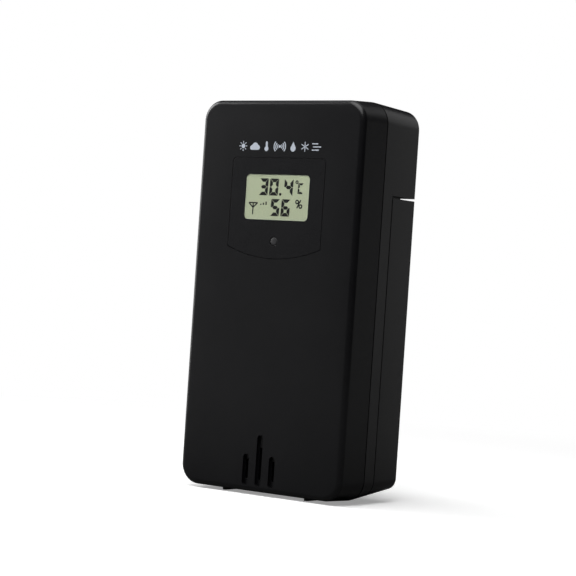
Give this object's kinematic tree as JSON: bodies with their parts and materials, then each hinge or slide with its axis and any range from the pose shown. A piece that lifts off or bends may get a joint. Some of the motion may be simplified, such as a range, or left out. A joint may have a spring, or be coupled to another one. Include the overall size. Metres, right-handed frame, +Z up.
{
  "type": "weather station outdoor sensor",
  "caption": "Upright black wireless temperature and humidity sensor with a small LCD, bottom vents, fixed feet and a slide-off battery door over two AA cells.",
  "frame": {"origin": "middle of the footprint, on the surface that the feet stand on", "axes": "+Z up, +Y towards the back, so the display faces -Y; +X is to the right seen from the front"},
  "size_m": [0.062, 0.0316, 0.1217],
  "materials": {
    "case_plastic": "finely textured black moulding with a soft sheen",
    "panel_plastic": "smooth black moulding, slightly glossier than the case",
    "clear_lens": "clear polished acrylic",
    "display_glass": "grey-green reflective liquid crystal display",
    "white_plastic": "off-white moulding",
    "strip_rubber": "layered conductive rubber",
    "lamp_lens": "smoked translucent plastic",
    "circuit_board": "green solder mask over glass-fibre board",
    "black_epoxy": "black encapsulation",
    "steel": "nickel-plated spring steel and zinc-plated screws",
    "antenna_wire": "enamelled copper wire",
    "cell_sleeve": "steel can in a printed sleeve",
    "control_plastic": "grey moulding",
    "red_insulation": "red wire insulation",
    "black_insulation": "black wire insulation"
  },
  "bodies": {
    "housing": {"front_cover": "case_plastic", "rear_casing": "case_plastic", "display_panel": "panel_plastic", "window_lens": "clear_lens", "lcd_glass": "display_glass", "lcd_frame": "white_plastic", "humidity_sensor": "white_plastic", "sensor_cable": "white_plastic", "zebra_strip_bottom": "strip_rubber", "zebra_strip_top": "strip_rubber", "led_lens": "lamp_lens", "indicator_led": "lamp_lens", "main_board": "circuit_board", "radio_board": "circuit_board", "sensor_board": "circuit_board", "microcontroller": "black_epoxy", "thermistor": "black_epoxy", "transmit_tact_switch": "black_epoxy", "unit_tact_switch": "black_epoxy", "crystal": "steel", "radio_resonator": "steel", "channel_switch_body": "steel", "bridge_plate": "steel", "bridge_spring": "steel", "positive_terminal": "steel", "negative_terminal": "steel", "negative_spring": "steel", "housing_screw_1": "steel", "housing_screw_2": "steel", "housing_screw_3": "steel", "housing_screw_4": "steel", "board_screw_1": "steel", "board_screw_2": "steel", "board_screw_3": "steel", "board_screw_4": "steel", "antenna": "antenna_wire", "battery_left": "cell_sleeve", "battery_right": "cell_sleeve", "positive_lead": "red_insulation", "negative_lead": "black_insulation"},
    "door": {"battery_door": "case_plastic"},
    "channel_selector": {"channel_switch_knob": "control_plastic"},
    "transmit_key": {"transmit_button": "control_plastic"},
    "unit_key": {"unit_button": "control_plastic"}
  },
  "joints": [
    {"name": "door_slide", "type": "slide", "parent": "housing", "child": "door", "axis": [0, 0, -1], "range_m": [0, 0.094]},
    {"name": "channel_slide", "type": "slide", "parent": "housing", "child": "channel_selector", "axis": [1, 0, 0], "range_m": [-0.002, 0.002]},
    {"name": "transmit_press", "type": "slide", "parent": "housing", "child": "transmit_key", "axis": [0, -1, 0], "range_m": [0, 0.0006], "stiffness_N_per_m": 2000, "springref_m": -0.0003},
    {"name": "unit_press", "type": "slide", "parent": "housing", "child": "unit_key", "axis": [0, -1, 0], "range_m": [0, 0.0006], "stiffness_N_per_m": 2000, "springref_m": -0.0003}
  ]
}
